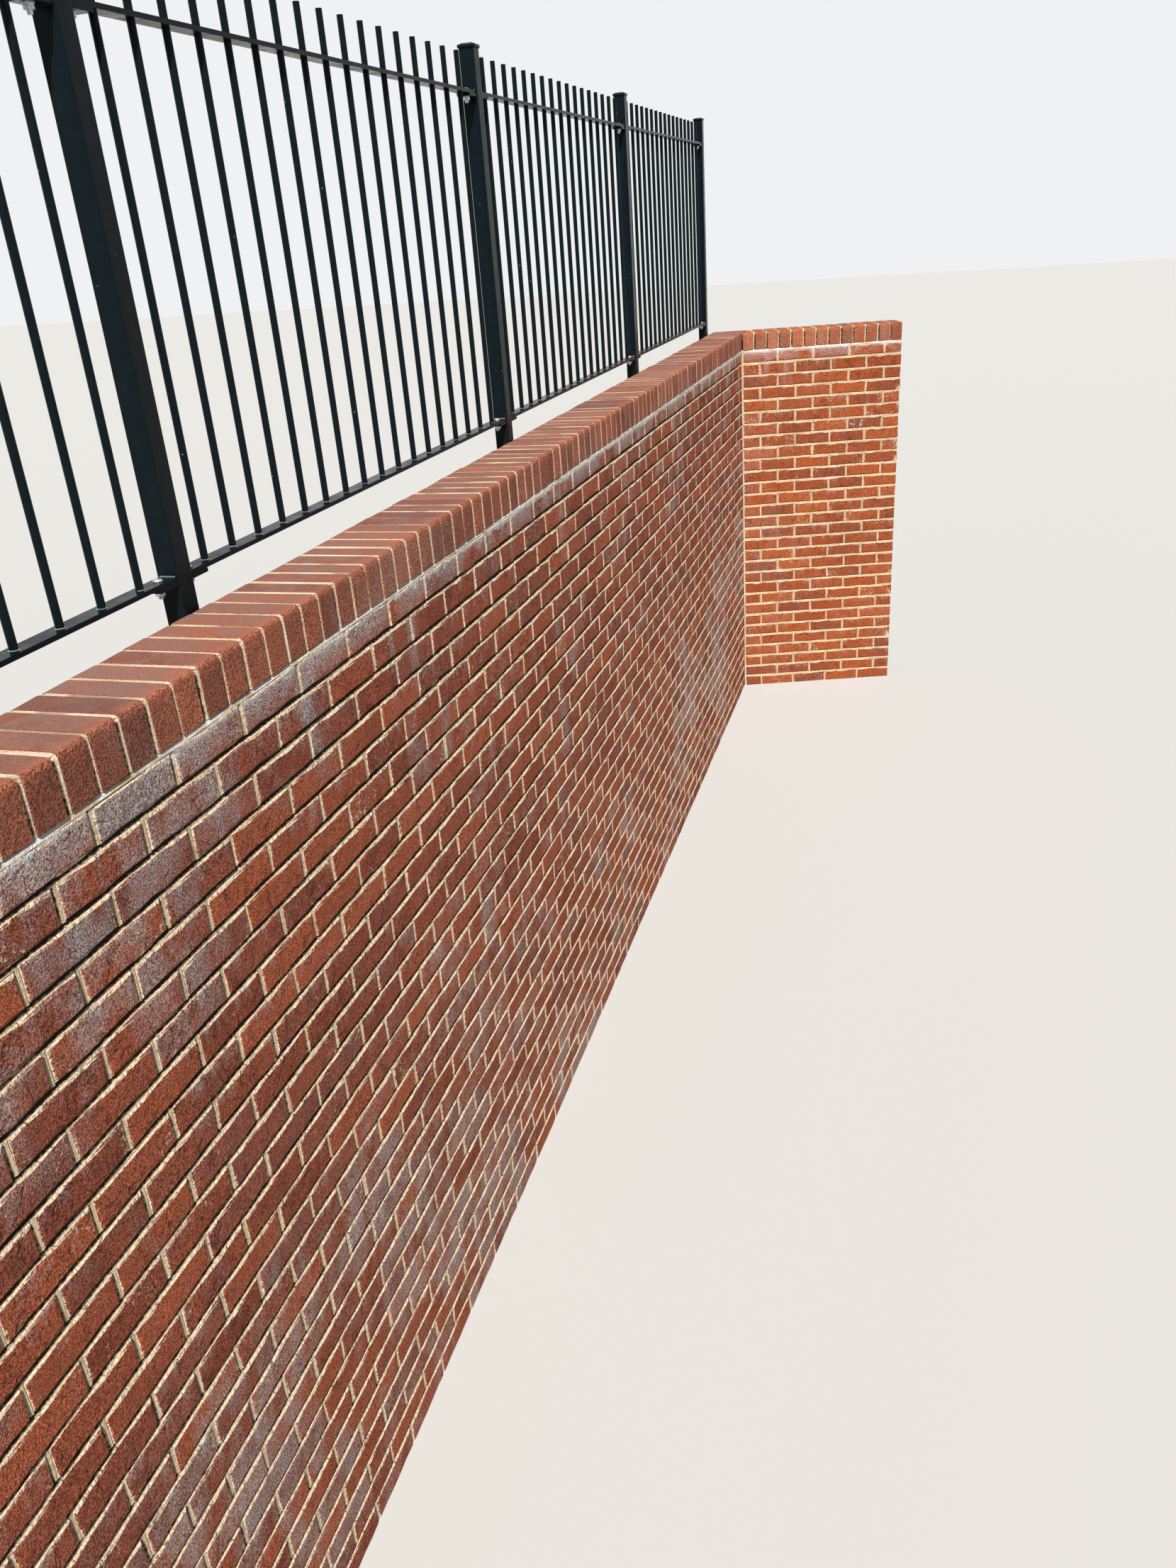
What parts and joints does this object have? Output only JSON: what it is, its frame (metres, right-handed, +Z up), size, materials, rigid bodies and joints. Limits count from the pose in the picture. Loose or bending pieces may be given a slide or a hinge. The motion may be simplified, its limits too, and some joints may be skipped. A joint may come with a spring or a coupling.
{
  "type": "brick garden wall with a guard railing",
  "caption": "Brick garden wall with a short splayed return leg, a brick-on-edge coping and a black steel bar guard railing in bays standing behind the coping.",
  "frame": {"origin": "centre of the footprint's bounding box, on the ground", "axes": "+X along the main wall towards its corner with the return leg, +Y from the main wall's front face to its back, +Z up"},
  "size_m": [8.47, 1.2988, 3.557],
  "materials": {
    "red_brick": "rough, weathered facing brick with recessed cream mortar",
    "coping_brick": "dense dark red brick on edge, worn smooth",
    "black_steel": "gloss black paint on welded steel",
    "black_plate": "gloss black paint with some dust",
    "cream_mortar": "sandy cream mortar, struck just below the bricks",
    "zinc_fixings": "bright zinc on bolts, nuts and weld beads"
  },
  "bodies": {
    "root": {"main_wall": "red_brick", "return_wall": "red_brick", "main_coping": "coping_brick", "return_coping": "coping_brick", "base_plate_1": "black_plate", "base_plate_2": "black_plate", "base_plate_3": "black_plate", "base_plate_4": "black_plate", "base_plate_5": "black_plate", "post_1": "black_steel", "post_2": "black_steel", "post_3": "black_steel", "post_4": "black_steel", "post_5": "black_steel", "post_cap_1": "black_steel", "post_cap_2": "black_steel", "post_cap_3": "black_steel", "post_cap_4": "black_steel", "post_cap_5": "black_steel", "railing_panel_1": "black_steel", "railing_panel_2": "black_steel", "railing_panel_3": "black_steel", "railing_panel_4": "black_steel"}
  },
  "joints": []
}
